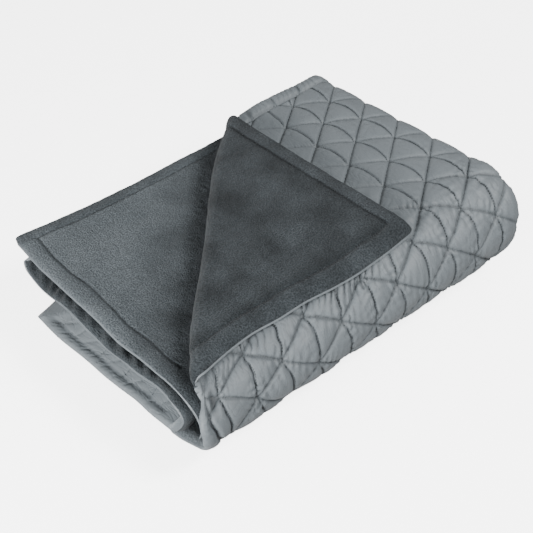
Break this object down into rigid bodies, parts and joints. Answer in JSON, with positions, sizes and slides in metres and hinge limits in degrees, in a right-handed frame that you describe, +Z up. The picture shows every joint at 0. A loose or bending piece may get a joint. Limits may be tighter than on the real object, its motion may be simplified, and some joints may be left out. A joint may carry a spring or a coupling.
{
  "type": "heated blanket",
  "caption": "Folded heated blanket with a triangle-quilted face and a fleece back, one corner turned back to show the fleece.",
  "frame": {"origin": "under the middle of the folded blanket, on the surface that it lies on", "axes": "+X from the near hems to the far fold, +Y from the round side fold to the open side hems, +Z up"},
  "size_m": [0.654, 0.4614, 0.1933],
  "materials": {
    "quilted_cloth": "soft woven cover, quilted",
    "fleece": "short pile fleece"
  },
  "bodies": {
    "root": {"quilted_face": "quilted_cloth", "fleece_back": "fleece"}
  },
  "joints": []
}
